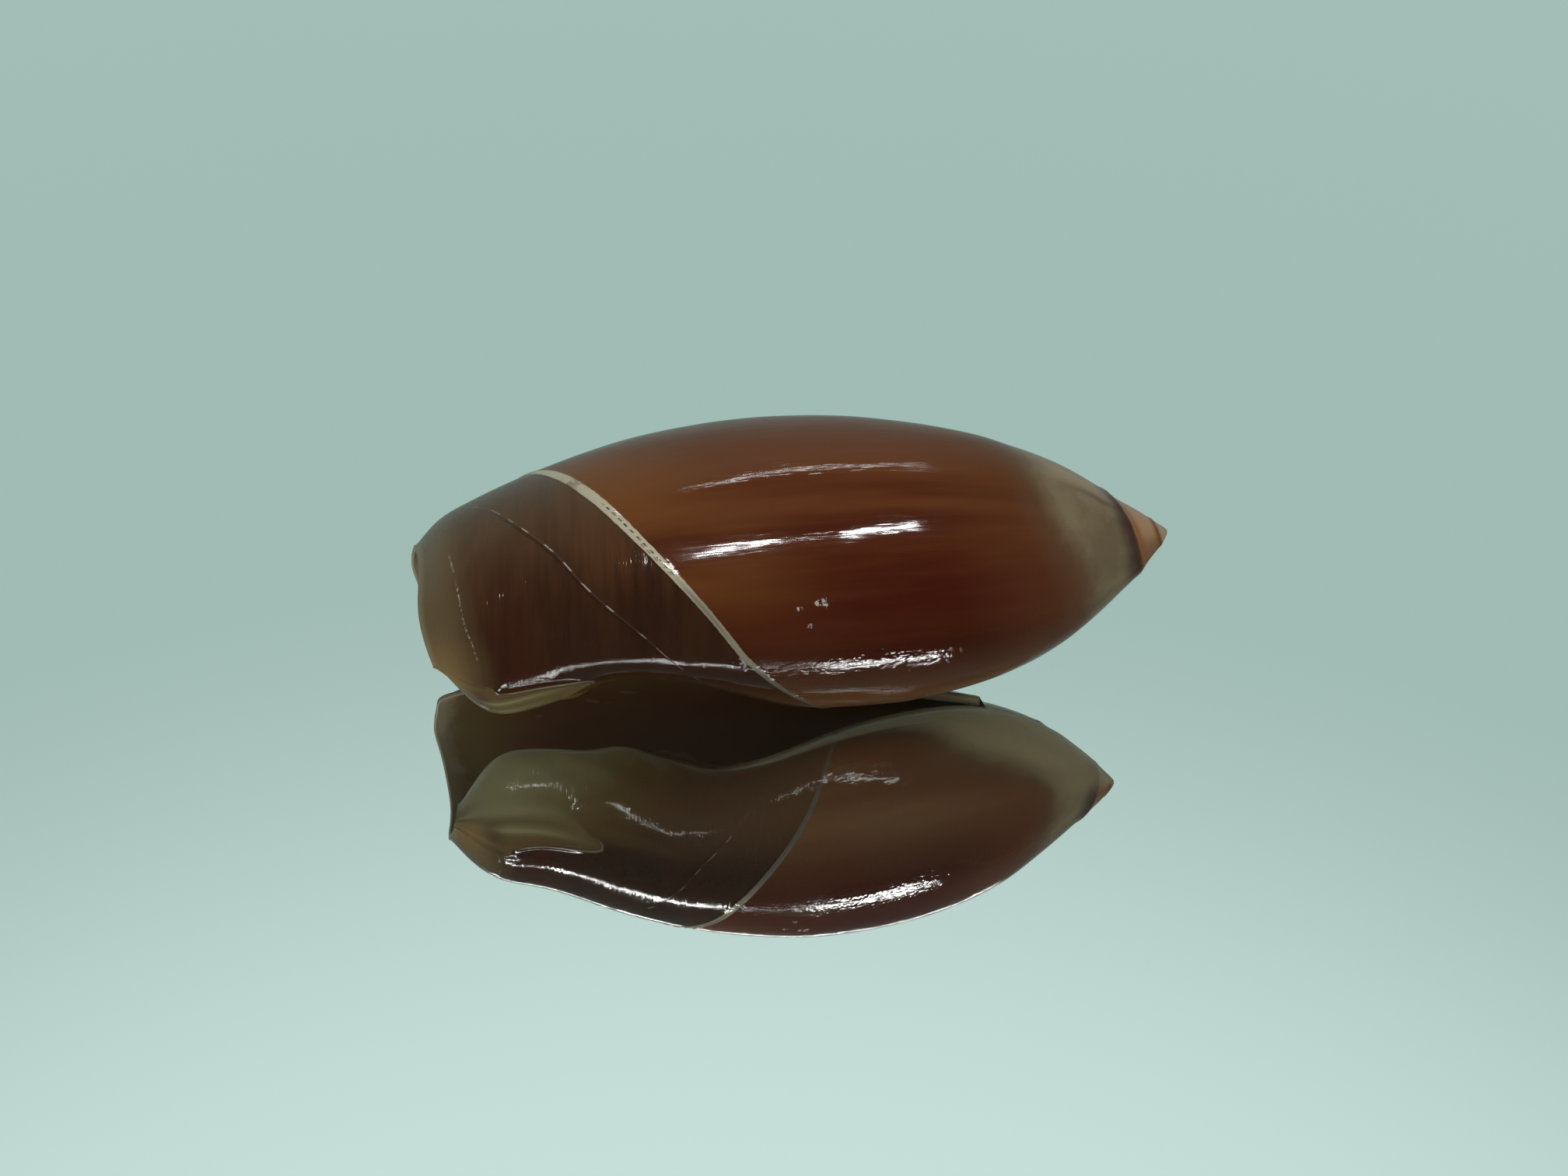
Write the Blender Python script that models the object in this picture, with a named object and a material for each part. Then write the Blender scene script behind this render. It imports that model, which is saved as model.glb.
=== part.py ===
"""An ancilla shell: one thin wall rolled once round its columella, lying on its aperture.

+X runs from the open front end to the apex, +Y towards the outer lip, +Z up from the floor.
The wall is lofted through cross-sections. Each section is one closed loop: over the outside
from the lip to the columella, up the columella into the hollow, and back under the wall.
"""
import math

import bmesh
import bpy
import numpy as np

MM = 0.001
APEX_X = 17.7
FRONT_X = -16.6
INSERTION_X = 10.0

WALL = 0.95
LIP_EDGE = 0.42
RIM_EDGE = 0.34
RIM_ROUND = 1.6
LEAST_GAP = 0.16
FRONT_FADE = 9.0
MATCHED_RUN = 6.0
SEAM_DEG = 73.0
SEAM_WIDTH_DEG = 6.0

ROWS_OPEN = 34
ROWS_SPIRE = 15
OVER_LIP = 7
OVER_FAR = 8
OVER_NEAR = 8
OVER_BASE = 9
COLUMELLA_FOOT = 3
COLUMELLA_REST = 9

# Sections run along the shell; each list pairs a place on X with a size, in millimetres.
NEAR_SIDE = [(17.7, 0.42), (17.2, -0.32), (16.3, -1.2), (14.6, -2.5), (12.2, -4.1), (9.1, -5.5),
             (5.3, -6.4), (0.9, -6.85), (-4.2, -6.5), (-8.5, -5.65), (-12.5, -5.03), (-14.5, -4.95),
             (-16.6, -3.26)]
FAR_SIDE = [(17.7, 0.42), (17.2, 0.95), (16.3, 1.45), (14.6, 2.1), (12.2, 2.9), (9.1, 3.9),
            (5.3, 5.1), (0.9, 6.1), (-4.2, 6.5), (-8.5, 6.3), (-12.5, 5.8), (-14.6, 5.2),
            (-15.8, 4.62), (-16.6, 3.9)]
CREST_Z = [(17.7, 6.74), (17.2, 7.15), (16.3, 7.8), (14.6, 9.1), (12.2, 10.75), (9.1, 12.1),
           (5.3, 12.9), (0.9, 13.05), (-4.2, 12.35), (-8.5, 11.1), (-12.5, 9.35), (-14.5, 8.3),
           (-15.7, 7.42), (-16.6, 6.3)]
CREST_Y = [(17.7, 0.42), (14.6, 0.1), (9.1, -0.4), (0.9, -0.5), (-8.5, 0.2), (-16.6, 0.6)]
WIDEST_Z = [(17.7, 6.7), (14.6, 6.15), (9.1, 6.2), (0.9, 6.5), (-4.2, 6.3), (-8.5, 5.8),
            (-12.5, 4.5), (-16.6, 3.67)]
BASE_Z = [(17.7, 6.66), (17.2, 6.0), (16.3, 4.9), (14.6, 3.1), (12.2, 1.45), (9.1, 0.35),
          (5.3, 0.0), (2.0, 0.05), (-1.0, 0.9), (-4.5, 2.15), (-7.5, 1.5), (-10.3, 0.73),
          (-12.8, 0.18), (-14.8, 0.66), (-16.6, 3.1)]
BASE_Y = [(17.7, 0.42), (14.6, 0.0), (9.1, -0.6), (5.3, -1.5), (2.0, -2.4), (-1.0, -2.75),
          (-4.5, -1.6), (-7.5, -0.8), (-10.3, -1.53), (-12.8, -1.94), (-14.8, -2.12), (-16.6, -2.42)]
LIP_Y = [(10.0, 1.05), (7.5, 1.25), (5.0, 1.7), (2.0, 2.3), (-2.0, 3.0), (-6.0, 3.5),
         (-10.0, 3.8), (-13.5, 3.8), (-16.6, 3.66)]
LIP_Z = [(10.0, 0.65), (7.5, 0.25), (5.0, 0.08), (2.0, 0.0), (-2.0, 0.0), (-6.0, 0.0),
         (-10.0, 0.0), (-13.5, 0.25), (-16.6, 0.97)]
CORE_HEIGHT = [(10.0, 5.6), (5.0, 6.0), (0.0, 5.0), (-4.5, 3.2), (-8.5, 1.9), (-12.8, 1.35),
               (-14.8, 0.9), (-16.6, 0.4)]
CORE_REACH = [(10.0, 3.0), (5.0, 3.4), (0.0, 2.5), (-4.5, 1.7), (-8.5, 1.0), (-12.8, 1.0),
              (-14.8, 0.75), (-16.6, 0.35)]
CORE_TOP = [(10.0, 5.2), (5.0, 5.6), (0.0, 4.6), (-4.5, 3.3), (-8.5, 2.3), (-12.8, 1.6),
            (-14.8, 0.9), (-16.6, 0.35)]
HOLLOW_END_DEG = [(10.0, 60.0), (5.0, 100.0), (0.0, 135.0), (-4.5, 160.0), (-8.5, 180.0),
                  (-12.8, 205.0), (-16.6, 225.0)]
# How far the front edge stands forward of FRONT_X, against the angle round the opening.
FRONT_EDGE = [(-62.0, -1.55), (-45.0, 0.15), (-28.0, 0.55), (0.0, 0.8), (30.0, 0.6), (60.0, 0.3),
              (100.0, 0.0), (140.0, -0.1), (175.0, -0.5), (205.0, -0.62), (245.0, -0.65),
              (270.0, -0.75)]
# How far the body is drawn in between its near side and its base, as a share of its size.
DRAWN_IN = [(-14.0, 0.0), (-11.0, 0.0), (-8.5, 0.067), (-6.0, 0.022), (-3.0, 0.0), (0.5, 0.05),
            (5.0, 0.0)]


def spline(knots):
    """A natural cubic spline through (place, size) pairs."""
    pairs = sorted(knots)
    xs = np.array([p[0] for p in pairs], float)
    ys = np.array([p[1] for p in pairs], float)
    gaps = np.diff(xs)
    slopes = np.diff(ys) / gaps
    count = len(xs)
    matrix = np.eye(count)
    right = np.zeros(count)
    for i in range(1, count - 1):
        matrix[i, i - 1:i + 2] = [gaps[i - 1], 2 * (gaps[i - 1] + gaps[i]), gaps[i]]
        right[i] = 6 * (slopes[i] - slopes[i - 1])
    bend = np.linalg.solve(matrix, right)

    def value(x):
        x = np.clip(x, xs[0], xs[-1])
        i = np.clip(np.searchsorted(xs, x) - 1, 0, count - 2)
        t = x - xs[i]
        linear = slopes[i] - gaps[i] * (2 * bend[i] + bend[i + 1]) / 6
        return ys[i] + t * linear + t * t * bend[i] / 2 + t ** 3 * (bend[i + 1] - bend[i]) / (6 * gaps[i])

    return value


def along(knots):
    """A spline over the shell's length whose knots crowd at the apex, so that the tip is round."""
    curve = spline([(math.sqrt(APEX_X - x), size) for x, size in knots])
    return lambda x: curve(np.sqrt(np.maximum(APEX_X - x, 0.0)))


near_side = along(NEAR_SIDE)
far_side = along(FAR_SIDE)
crest_z = along(CREST_Z)
crest_y = along(CREST_Y)
widest_z = along(WIDEST_Z)
base_z = along(BASE_Z)
base_y = along(BASE_Y)
lip_y = spline(LIP_Y)
lip_z = spline(LIP_Z)
core_height = spline(CORE_HEIGHT)
core_reach = spline(CORE_REACH)
core_top = spline(CORE_TOP)
hollow_end = spline(HOLLOW_END_DEG)
front_edge = spline(FRONT_EDGE)
drawn_in = spline(DRAWN_IN)


def smooth(t):
    """Rises from 0 to 1 with level ends."""
    t = np.clip(t, 0.0, 1.0)
    return t * t * (3.0 - 2.0 * t)


def lip_angle(x):
    """The angle below the far side at which the wall ends in the lip."""
    return SEAM_DEG - 11.0 * float(smooth((INSERTION_X - x) / 9.0))


def outside(x, degrees):
    """A point (y, z) of the outer surface: 0 is the far side, 90 the crest, 270 the base."""
    angle = np.radians(degrees)
    side, rise = np.cos(angle), np.sin(angle)
    far, near, widest = far_side(x), near_side(x), widest_z(x)
    foot_y, foot_z = base_y(x), base_z(x)
    drop = widest - foot_z
    lip_foot_y, lip_drop = foot_y, drop
    if x < INSERTION_X:
        ends = math.radians(lip_angle(x))
        lip_drop = (widest - lip_z(x)) / math.sin(ends)
        lip_foot_y = (lip_y(x) - far * math.cos(ends)) / (1.0 - math.cos(ends))
    above = rise >= 0
    mid = np.where(above, crest_y(x), np.where(side >= 0, lip_foot_y, foot_y))
    kept = np.where(above | (side >= 0), 1.0, 1.0 - drawn_in(x) * np.sin(2.0 * angle) ** 2)
    y = mid + np.where(side >= 0, far - mid, mid - near) * side * kept
    low = np.where(side >= 0, lip_drop, drop)
    z = widest + np.where(above, crest_z(x) - widest, low) * rise * kept
    return np.stack([y, z], -1)


def thickness(x, degrees):
    """The wall's thickness: thin at the lip and rounded off at the front edge."""
    from_lip = smooth((degrees + lip_angle(x)) / 70.0)
    body = LIP_EDGE + (WALL - LIP_EDGE) * from_lip
    from_front = np.clip((x - FRONT_X) / RIM_ROUND, 0.0, 1.0)
    rounding = math.sqrt(1.0 - (1.0 - from_front) ** 2)
    return RIM_EDGE * 0.5 + (body - RIM_EDGE * 0.5) * (0.35 * rounding + 0.65 * smooth((x - FRONT_X) / 6.0))


def inside(x, degrees):
    """A point (y, z) of the wall's inner surface, straight in from the outer one."""
    step = 0.5
    slope = outside(x, degrees + step) - outside(x, degrees - step)
    slope /= np.linalg.norm(slope, axis=-1, keepdims=True)
    inward = np.stack([-slope[..., 1], slope[..., 0]], -1)
    return outside(x, degrees) + inward * np.asarray(thickness(x, degrees))[..., None]


def core(x, turns_from, turns_to, count):
    """Points up the columella from its foot to where the hollow ends against the wall."""
    foot = np.array([base_y(x), base_z(x)])
    middle = foot + [0.0, core_height(x)]
    wall = inside(x, np.linspace(-lip_angle(x), hollow_end(x), 160)) - middle
    wall_turn = np.unwrap(np.arctan2(wall[:, 1], wall[:, 0]))
    wall_reach = np.hypot(wall[:, 0], wall[:, 1])
    last = wall_turn[-1]
    share = np.linspace(turns_from, turns_to, count)
    turn = -math.pi / 2 + share * (last + math.pi / 2)
    across = np.where(np.cos(turn) >= 0, core_reach(x), 0.8 * core_reach(x))
    tall = np.where(np.sin(turn) >= 0, core_top(x), core_height(x))
    reach = 1.0 / np.hypot(np.cos(turn) / across, np.sin(turn) / tall)
    room = np.interp(turn, wall_turn, wall_reach) - min(LEAST_GAP, 0.3 * core_height(x))
    room = np.where(turn < wall_turn[0], reach, room)
    reach = np.minimum(reach, room)
    close = smooth((share - 0.8) / 0.2) ** 2
    reach = reach + (room - reach) * close
    return middle + np.stack([np.cos(turn), np.sin(turn)], -1) * reach[:, None]


def foot_share(x):
    """The share of the columella's sweep that lies between its foot and the lip."""
    sweep = hollow_end(x) + 90.0
    return (90.0 - SEAM_DEG) / sweep


def section(x):
    """The whole loop of a section that the aperture opens: the outside, then the inside."""
    start = -lip_angle(x)
    out = np.concatenate([
        np.linspace(start, 0.0, OVER_LIP, endpoint=False),
        np.linspace(0.0, 90.0, OVER_FAR, endpoint=False),
        np.linspace(90.0, 180.0, OVER_NEAR, endpoint=False),
        np.linspace(180.0, 270.0, OVER_BASE, endpoint=False),
    ])
    core_count = COLUMELLA_FOOT + COLUMELLA_REST
    wall_count = len(out) - core_count
    back = np.linspace(hollow_end(x), start, wall_count)
    facing = np.concatenate([back[::-1], np.linspace(hollow_end(x), 270.0, core_count + 2)[1:-1]])
    out = facing + (out - facing) * smooth((x - FRONT_X) / MATCHED_RUN)
    share = foot_share(x)
    first = core(x, 0.0, share, COLUMELLA_FOOT + 1)
    rest = core(x, share, 1.0, COLUMELLA_REST + 1)[1:-1]
    points = np.vstack([outside(x, out), first, rest, inside(x, back)])
    angles = np.concatenate([out, np.linspace(270.0, hollow_end(x), len(first) + len(rest)), back])
    return points, angles


def closed_section(x):
    """The loop of a section behind the aperture, where the whorl is closed."""
    out = np.concatenate([
        np.linspace(-SEAM_DEG, 0.0, OVER_LIP, endpoint=False),
        np.linspace(0.0, 90.0, OVER_FAR, endpoint=False),
        np.linspace(90.0, 180.0, OVER_NEAR, endpoint=False),
        np.linspace(180.0, 270.0, OVER_BASE, endpoint=False),
        np.linspace(270.0, 360.0 - SEAM_DEG - SEAM_WIDTH_DEG, COLUMELLA_FOOT + 1),
    ])
    return outside(x, out)


def rows():
    """The places of the open sections, from the front edge back, and of the closed ones."""
    t = np.linspace(0.0, 1.0, ROWS_OPEN)
    front = FRONT_X + (INSERTION_X - FRONT_X) * (0.55 * t + 0.45 * t * t)
    q = np.linspace(math.sqrt(APEX_X - INSERTION_X), 0.0, ROWS_SPIRE + 1)
    spire = APEX_X - q ** 2
    return front, spire[1:-1]


def shell_mesh():
    """The closed mesh of the shell, in millimetres."""
    mesh = bmesh.new()
    front, spire = rows()
    rings = []
    for x in front:
        points, angles = section(x)
        fade = 1.0 - smooth((x - FRONT_X) / FRONT_FADE)
        ahead = front_edge(angles) * fade
        rings.append([mesh.verts.new((x - a, y, z)) for (y, z), a in zip(points, ahead)])
    closed = [[mesh.verts.new((x, y, z)) for y, z in closed_section(x)] for x in spire]
    tip = mesh.verts.new((APEX_X, float(crest_y(APEX_X)), float(crest_z(APEX_X))))
    count = len(rings[0])
    half = count // 2
    seam = len(closed[0])
    for row, after in zip(rings, rings[1:]):
        for j in range(count):
            k = (j + 1) % count
            mesh.faces.new((row[j], row[k], after[k], after[j]))
    for j in range(half - 1):
        first = rings[0]
        mesh.faces.new((first[j + 1], first[j], first[count - 1 - j], first[count - 2 - j]))
    last = rings[-1]
    mesh.faces.new([last[0]] + [last[j] for j in range(count - 1, seam - 2, -1)])
    for row, after in zip([last[:seam]] + closed, closed):
        for j in range(seam):
            k = (j + 1) % seam
            mesh.faces.new((row[j], row[k], after[k], after[j]))
    for j in range(seam):
        mesh.faces.new((closed[-1][j], closed[-1][(j + 1) % seam], tip))
    return mesh


def material():
    """Glossy chestnut enamel."""
    made = bpy.data.materials.new("chestnut_enamel")
    made.use_nodes = True
    shader = made.node_tree.nodes["Principled BSDF"]
    shader.inputs["Base Color"].default_value = (0.17, 0.062, 0.028, 1.0)
    shader.inputs["Roughness"].default_value = 0.22
    shader.inputs["Metallic"].default_value = 0.0
    return made


def main():
    """Builds the shell, standing on the floor with its base centred on the origin."""
    for old in list(bpy.data.objects):
        bpy.data.objects.remove(old, do_unlink=True)
    mesh = shell_mesh()
    low = np.min([v.co for v in mesh.verts], axis=0)
    high = np.max([v.co for v in mesh.verts], axis=0)
    centre = ((low[0] + high[0]) / 2, (low[1] + high[1]) / 2, low[2])
    for v in mesh.verts:
        v.co = [(v.co[i] - centre[i]) * MM for i in range(3)]
    bmesh.ops.recalc_face_normals(mesh, faces=mesh.faces)
    data = bpy.data.meshes.new("shell")
    mesh.to_mesh(data)
    mesh.free()
    data.shade_smooth()
    data.materials.append(material())
    shell = bpy.data.objects.new("shell", data)
    bpy.context.scene.collection.objects.link(shell)


main()
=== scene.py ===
"""An ancilla shell lying on its aperture: the look of the shell around its fixed CAD frame.

Lengths are in millimetres in the shell's own measures and in metres in the scene. +X runs from
the open front end to the apex, +Y towards the outer lip, +Z up from the floor. Angles go round a
section of the shell: 0 is the far side, 90 the crest, 180 the near side and 270 the base.
"""
import logging
import math
from dataclasses import dataclass, field
from enum import Enum
from functools import reduce
from typing import Callable, Sequence

import bpy
import numpy as np
from mathutils import Matrix, Vector


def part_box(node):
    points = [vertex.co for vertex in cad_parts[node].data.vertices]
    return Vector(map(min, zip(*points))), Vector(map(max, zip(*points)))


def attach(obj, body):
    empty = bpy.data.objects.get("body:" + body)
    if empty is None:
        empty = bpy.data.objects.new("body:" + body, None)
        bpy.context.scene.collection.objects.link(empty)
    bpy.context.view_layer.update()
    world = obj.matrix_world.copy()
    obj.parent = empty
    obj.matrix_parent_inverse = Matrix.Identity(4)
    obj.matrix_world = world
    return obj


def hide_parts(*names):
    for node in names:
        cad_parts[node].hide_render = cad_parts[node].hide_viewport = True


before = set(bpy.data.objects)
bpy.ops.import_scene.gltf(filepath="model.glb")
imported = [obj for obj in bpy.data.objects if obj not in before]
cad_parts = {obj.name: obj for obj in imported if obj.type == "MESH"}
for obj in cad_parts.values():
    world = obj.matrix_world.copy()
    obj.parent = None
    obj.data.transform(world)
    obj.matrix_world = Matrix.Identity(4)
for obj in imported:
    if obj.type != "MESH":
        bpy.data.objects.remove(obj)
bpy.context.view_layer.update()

LOG = logging.getLogger("ancilla")
MM = 0.001
Colour = tuple[float, float, float]
Knots = Sequence[tuple[float, float]]
Node, Socket, Tree = bpy.types.Node, bpy.types.NodeSocket, bpy.types.NodeTree
FAR_OFF = 20.0
CREST, NEAR_SIDE, BASE, FULL_TURN = 90.0, 180.0, 270.0, 360.0


def smooth(t: np.ndarray | float) -> np.ndarray:
    """Rise from 0 to 1 with level ends.

    Args:
        t: where to look; values beyond 0 and 1 are held.

    Returns:
        The eased values.
    """
    t = np.clip(t, 0.0, 1.0)
    return t * t * (3.0 - 2.0 * t)


def hump(distance: np.ndarray, width: float) -> np.ndarray:
    """A rounded hump of height 1 at distance 0, about width wide on each side."""
    return np.exp(-((distance / width) ** 2))


class Curve:
    """A natural cubic spline through a few knots, held level beyond its ends."""

    def __init__(self, knots: Knots, warp: Callable[[np.ndarray], np.ndarray] | None = None) -> None:
        """Prepare the spline.

        Args:
            knots: (place, size) pairs.
            warp: an optional change of place, for knots that should crowd somewhere.
        """
        self.warp = warp or (lambda place: place)
        pairs = sorted((float(self.warp(np.float64(place))), size) for place, size in knots)
        self.places = np.array([pair[0] for pair in pairs])
        self.sizes = np.array([pair[1] for pair in pairs])
        self.gaps = np.diff(self.places)
        self.slopes = np.diff(self.sizes) / self.gaps
        count = len(pairs)
        matrix = np.eye(count)
        right = np.zeros(count)
        for i in range(1, count - 1):
            matrix[i, i - 1:i + 2] = [self.gaps[i - 1], 2 * (self.gaps[i - 1] + self.gaps[i]), self.gaps[i]]
            right[i] = 6 * (self.slopes[i] - self.slopes[i - 1])
        self.bend = np.linalg.solve(matrix, right)

    def __call__(self, place: np.ndarray | float) -> np.ndarray:
        """Read the spline.

        Args:
            place: where to look; places beyond the end knots are held.

        Returns:
            The size at each place.
        """
        at = np.clip(self.warp(np.asarray(place, float)), self.places[0], self.places[-1])
        i = np.clip(np.searchsorted(self.places, at) - 1, 0, len(self.gaps) - 1)
        t = at - self.places[i]
        gap, low, high = self.gaps[i], self.bend[i], self.bend[i + 1]
        linear = self.slopes[i] - gap * (2 * low + high) / 6
        return self.sizes[i] + t * linear + t * t * low / 2 + t ** 3 * (high - low) / (6 * gap)


APEX_X = 17.7


def from_apex(x: np.ndarray) -> np.ndarray:
    """The change of place that makes the apex round."""
    return np.sqrt(np.maximum(APEX_X - x, 0.0))


def curve(*knots: tuple[float, float]) -> Curve:
    """A dataclass field that holds a plain curve."""
    return field(default_factory=lambda: Curve(knots))


def apex_curve(*knots: tuple[float, float]) -> Curve:
    """A dataclass field that holds a curve with a round end at the apex."""
    return field(default_factory=lambda: Curve(knots, from_apex))


@dataclass
class ShellForm:
    """The measures of the shell, in millimetres, and the surfaces that they give."""

    front_x: float = -16.6
    insertion_x: float = 10.0
    wall: float = 0.95
    lip_edge: float = 0.42
    rim_edge: float = 0.34
    rim_round: float = 1.6
    least_gap: float = 0.16
    front_fade: float = 9.0
    seam_deg: float = 73.0
    seam_width_deg: float = 6.0
    near_side: Curve = apex_curve(
        (17.7, 0.42), (17.2, -0.32), (16.3, -1.2), (14.6, -2.5), (12.2, -4.1), (9.1, -5.5), (5.3, -6.4),
        (0.9, -6.85), (-4.2, -6.5), (-8.5, -5.65), (-12.5, -5.03), (-14.5, -4.95), (-16.6, -3.26))
    far_side: Curve = apex_curve(
        (17.7, 0.42), (17.2, 0.95), (16.3, 1.45), (14.6, 2.1), (12.2, 2.9), (9.1, 3.9), (5.3, 5.1),
        (0.9, 6.1), (-4.2, 6.5), (-8.5, 6.3), (-12.5, 5.8), (-14.6, 5.2), (-15.8, 4.62), (-16.6, 3.9))
    crest_z: Curve = apex_curve(
        (17.7, 6.74), (17.2, 7.15), (16.3, 7.8), (14.6, 9.1), (12.2, 10.75), (9.1, 12.1), (5.3, 12.9),
        (0.9, 13.05), (-4.2, 12.35), (-8.5, 11.1), (-12.5, 9.35), (-14.5, 8.3), (-15.7, 7.42),
        (-16.6, 6.3))
    crest_y: Curve = apex_curve(
        (17.7, 0.42), (14.6, 0.1), (9.1, -0.4), (0.9, -0.5), (-8.5, 0.2), (-16.6, 0.6))
    widest_z: Curve = apex_curve(
        (17.7, 6.7), (14.6, 6.15), (9.1, 6.2), (0.9, 6.5), (-4.2, 6.3), (-8.5, 5.8), (-12.5, 4.5),
        (-16.6, 3.67))
    base_z: Curve = apex_curve(
        (17.7, 6.66), (17.2, 6.0), (16.3, 4.9), (14.6, 3.1), (12.2, 1.45), (9.1, 0.35), (5.3, 0.0),
        (2.0, 0.05), (-1.0, 0.9), (-4.5, 2.15), (-7.5, 1.5), (-10.3, 0.73), (-12.8, 0.18), (-14.8, 0.66),
        (-16.6, 3.1))
    base_y: Curve = apex_curve(
        (17.7, 0.42), (14.6, 0.0), (9.1, -0.6), (5.3, -1.5), (2.0, -2.4), (-1.0, -2.75), (-4.5, -1.6),
        (-7.5, -0.8), (-10.3, -1.53), (-12.8, -1.94), (-14.8, -2.12), (-16.6, -2.42))
    lip_y: Curve = curve(
        (10.0, 1.05), (7.5, 1.25), (5.0, 1.7), (2.0, 2.3), (-2.0, 3.0), (-6.0, 3.5), (-10.0, 3.8),
        (-13.5, 3.8), (-16.6, 3.66))
    lip_z: Curve = curve(
        (10.0, 0.65), (7.5, 0.25), (5.0, 0.08), (2.0, 0.0), (-2.0, 0.0), (-6.0, 0.0), (-10.0, 0.0),
        (-13.5, 0.25), (-16.6, 0.97))
    core_height: Curve = curve(
        (10.0, 5.6), (5.0, 6.0), (0.0, 5.0), (-4.5, 3.2), (-8.5, 1.9), (-12.8, 1.35), (-14.8, 0.9),
        (-16.6, 0.4))
    core_reach: Curve = curve(
        (10.0, 3.0), (5.0, 3.4), (0.0, 2.5), (-4.5, 1.7), (-8.5, 1.0), (-12.8, 1.0), (-14.8, 0.75),
        (-16.6, 0.35))
    core_top: Curve = curve(
        (10.0, 5.2), (5.0, 5.6), (0.0, 4.6), (-4.5, 3.3), (-8.5, 2.3), (-12.8, 1.6), (-14.8, 0.9),
        (-16.6, 0.35))
    hollow_end: Curve = curve(
        (10.0, 60.0), (5.0, 100.0), (0.0, 135.0), (-4.5, 160.0), (-8.5, 180.0), (-12.8, 205.0),
        (-16.6, 225.0))
    front_edge: Curve = curve(
        (-62.0, -1.55), (-45.0, 0.15), (-28.0, 0.55), (0.0, 0.8), (30.0, 0.6), (60.0, 0.3), (100.0, 0.0),
        (140.0, -0.1), (175.0, -0.5), (205.0, -0.62), (245.0, -0.65), (270.0, -0.75))
    drawn_in: Curve = curve(
        (-14.0, 0.0), (-11.0, 0.0), (-8.5, 0.067), (-6.0, 0.022), (-3.0, 0.0), (0.5, 0.05), (5.0, 0.0))

    def lip_angle(self, x: float) -> float:
        """The angle below the far side at which the wall ends in the lip."""
        return self.seam_deg - 11.0 * float(smooth((self.insertion_x - x) / 9.0))

    def outside(self, x: float, degrees: np.ndarray) -> np.ndarray:
        """Points of the outer surface on one section.

        Args:
            x: the section's place.
            degrees: angles round the section.

        Returns:
            An array of (y, z) rows.
        """
        angle = np.radians(degrees)
        side, rise = np.cos(angle), np.sin(angle)
        far, near, widest = self.far_side(x), self.near_side(x), self.widest_z(x)
        foot_y, foot_z = self.base_y(x), self.base_z(x)
        drop = widest - foot_z
        lip_foot_y, lip_drop = foot_y, drop
        if x < self.insertion_x:
            ends = math.radians(self.lip_angle(x))
            lip_drop = (widest - self.lip_z(x)) / math.sin(ends)
            lip_foot_y = (self.lip_y(x) - far * math.cos(ends)) / (1.0 - math.cos(ends))
        above = rise >= 0
        mid = np.where(above, self.crest_y(x), np.where(side >= 0, lip_foot_y, foot_y))
        kept = np.where(above | (side >= 0), 1.0, 1.0 - self.drawn_in(x) * np.sin(2.0 * angle) ** 2)
        y = mid + np.where(side >= 0, far - mid, mid - near) * side * kept
        low = np.where(side >= 0, lip_drop, drop)
        z = widest + np.where(above, self.crest_z(x) - widest, low) * rise * kept
        return np.stack([y, z], -1)

    def thickness(self, x: float, degrees: np.ndarray) -> np.ndarray:
        """The wall's thickness: thin at the lip and rounded off at the front edge.

        Args:
            x: the section's place.
            degrees: angles round the section.

        Returns:
            Thicknesses in millimetres.
        """
        from_lip = smooth((degrees + self.lip_angle(x)) / 70.0)
        body = self.lip_edge + (self.wall - self.lip_edge) * from_lip
        from_front = min(max((x - self.front_x) / self.rim_round, 0.0), 1.0)
        rounding = math.sqrt(1.0 - (1.0 - from_front) ** 2)
        least = self.rim_edge * 0.5
        return least + (body - least) * (0.35 * rounding + 0.65 * smooth((x - self.front_x) / 6.0))

    def inside(self, x: float, degrees: np.ndarray) -> np.ndarray:
        """Points of the wall's inner surface, straight in from the outer one.

        Args:
            x: the section's place.
            degrees: angles round the section.

        Returns:
            An array of (y, z) rows.
        """
        step = 0.5
        slope = self.outside(x, degrees + step) - self.outside(x, degrees - step)
        slope /= np.linalg.norm(slope, axis=-1, keepdims=True)
        inward = np.stack([-slope[..., 1], slope[..., 0]], -1)
        return self.outside(x, degrees) + inward * np.asarray(self.thickness(x, degrees))[..., None]

    def core(self, x: float, share: np.ndarray) -> np.ndarray:
        """Points up the columella, from its foot to where the hollow ends against the wall.

        Args:
            x: the section's place.
            share: how far round, from 0 at the foot to 1 at the wall.

        Returns:
            An array of (y, z) rows.
        """
        height = self.core_height(x)
        middle = np.array([self.base_y(x), self.base_z(x) + height])
        wall = self.inside(x, np.linspace(-self.lip_angle(x), self.hollow_end(x), 400)) - middle
        wall_turn = np.unwrap(np.arctan2(wall[:, 1], wall[:, 0]))
        wall_reach = np.hypot(wall[:, 0], wall[:, 1])
        turn = -math.pi / 2 + share * (wall_turn[-1] + math.pi / 2)
        across = np.where(np.cos(turn) >= 0, self.core_reach(x), 0.8 * self.core_reach(x))
        tall = np.where(np.sin(turn) >= 0, self.core_top(x), height)
        reach = 1.0 / np.hypot(np.cos(turn) / across, np.sin(turn) / tall)
        room = np.interp(turn, wall_turn, wall_reach) - min(self.least_gap, 0.3 * height)
        room = np.where(turn < wall_turn[0], reach, room)
        reach = np.minimum(reach, room)
        reach = reach + (room - reach) * smooth((share - 0.8) / 0.2) ** 2
        return middle + np.stack([np.cos(turn), np.sin(turn)], -1) * reach[:, None]

    def foot_share(self, x: float) -> float:
        """The share of the columella's sweep that lies between its foot and the lip's seam."""
        return (CREST - self.seam_deg) / float(self.hollow_end(x) + CREST)


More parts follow.
